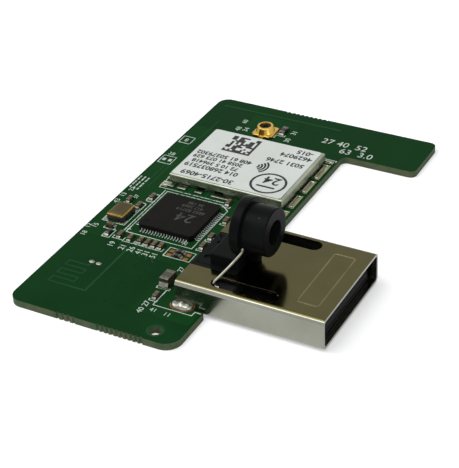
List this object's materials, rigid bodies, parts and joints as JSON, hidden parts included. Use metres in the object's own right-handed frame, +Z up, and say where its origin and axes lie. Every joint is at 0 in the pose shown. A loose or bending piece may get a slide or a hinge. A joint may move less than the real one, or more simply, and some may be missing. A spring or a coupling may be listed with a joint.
{
  "type": "usb wireless adapter board",
  "caption": "Bare L-shaped wireless network board with a wide sheet-metal plug, a shielded radio, a coaxial test connector and a black eyelet bracket on the plug.",
  "frame": {"origin": "under the middle of the object, on the plane of the board's underside", "axes": "+X points out of the plug's mouth, +Y along the long edge of the board away from the plug, +Z up from the component side"},
  "size_m": [0.0378, 0.0538, 0.0125],
  "materials": {
    "board": "green solder mask over glass laminate",
    "plug_metal": "bright nickel-plated sheet steel",
    "plug_plastic": "black moulding",
    "bracket_plastic": "black moulding with a dull gloss",
    "wire_steel": "drawn spring wire",
    "solder": "bright solder",
    "shield_metal": "tinned sheet",
    "label": "white printed film",
    "chip_epoxy": "black epoxy",
    "gold": "gold plate",
    "ceramic": "black ceramic",
    "crystal_metal": "bronze-coloured lid",
    "capacitor": "tan ceramic with tinned ends",
    "resistor": "black film with tinned ends"
  },
  "bodies": {
    "root": {"antenna_switch": "chip_epoxy", "balance_filter": "chip_epoxy", "band_filter": "chip_epoxy", "capacitor_chip_corner": "capacitor", "capacitor_chip_left_1": "capacitor", "capacitor_chip_left_2": "capacitor", "capacitor_chip_right_1": "capacitor", "capacitor_chip_right_2": "capacitor", "capacitor_chip_right_3": "capacitor", "capacitor_crystal_far": "capacitor", "capacitor_crystal_near": "capacitor", "capacitor_plug": "capacitor", "capacitor_row_1": "capacitor", "capacitor_row_2": "capacitor", "capacitor_row_3": "capacitor", "capacitor_row_4": "capacitor", "capacitor_row_5": "capacitor", "capacitor_row_6": "capacitor", "capacitor_supply": "capacitor", "circuit_board": "board", "coax_core": "plug_plastic", "coax_pin": "gold", "coax_shell": "gold", "crystal_base": "ceramic", "crystal_lid": "crystal_metal", "eyelet_bracket": "bracket_plastic", "plug_contact_1": "gold", "plug_contact_2": "gold", "plug_contact_3": "gold", "plug_contact_4": "gold", "plug_insulator": "plug_plastic", "plug_shell": "plug_metal", "power_amplifier_1": "chip_epoxy", "power_amplifier_2": "chip_epoxy", "radio_controller": "chip_epoxy", "radio_transceiver": "chip_epoxy", "resistor_antenna": "resistor", "resistor_crystal": "resistor", "resistor_data_1": "resistor", "resistor_data_2": "resistor", "settings_memory": "chip_epoxy", "shield_frame": "shield_metal", "shield_label": "label", "shield_lid": "shield_metal", "solder_far": "solder", "solder_near": "solder", "wire_stay": "wire_steel"}
  },
  "joints": []
}
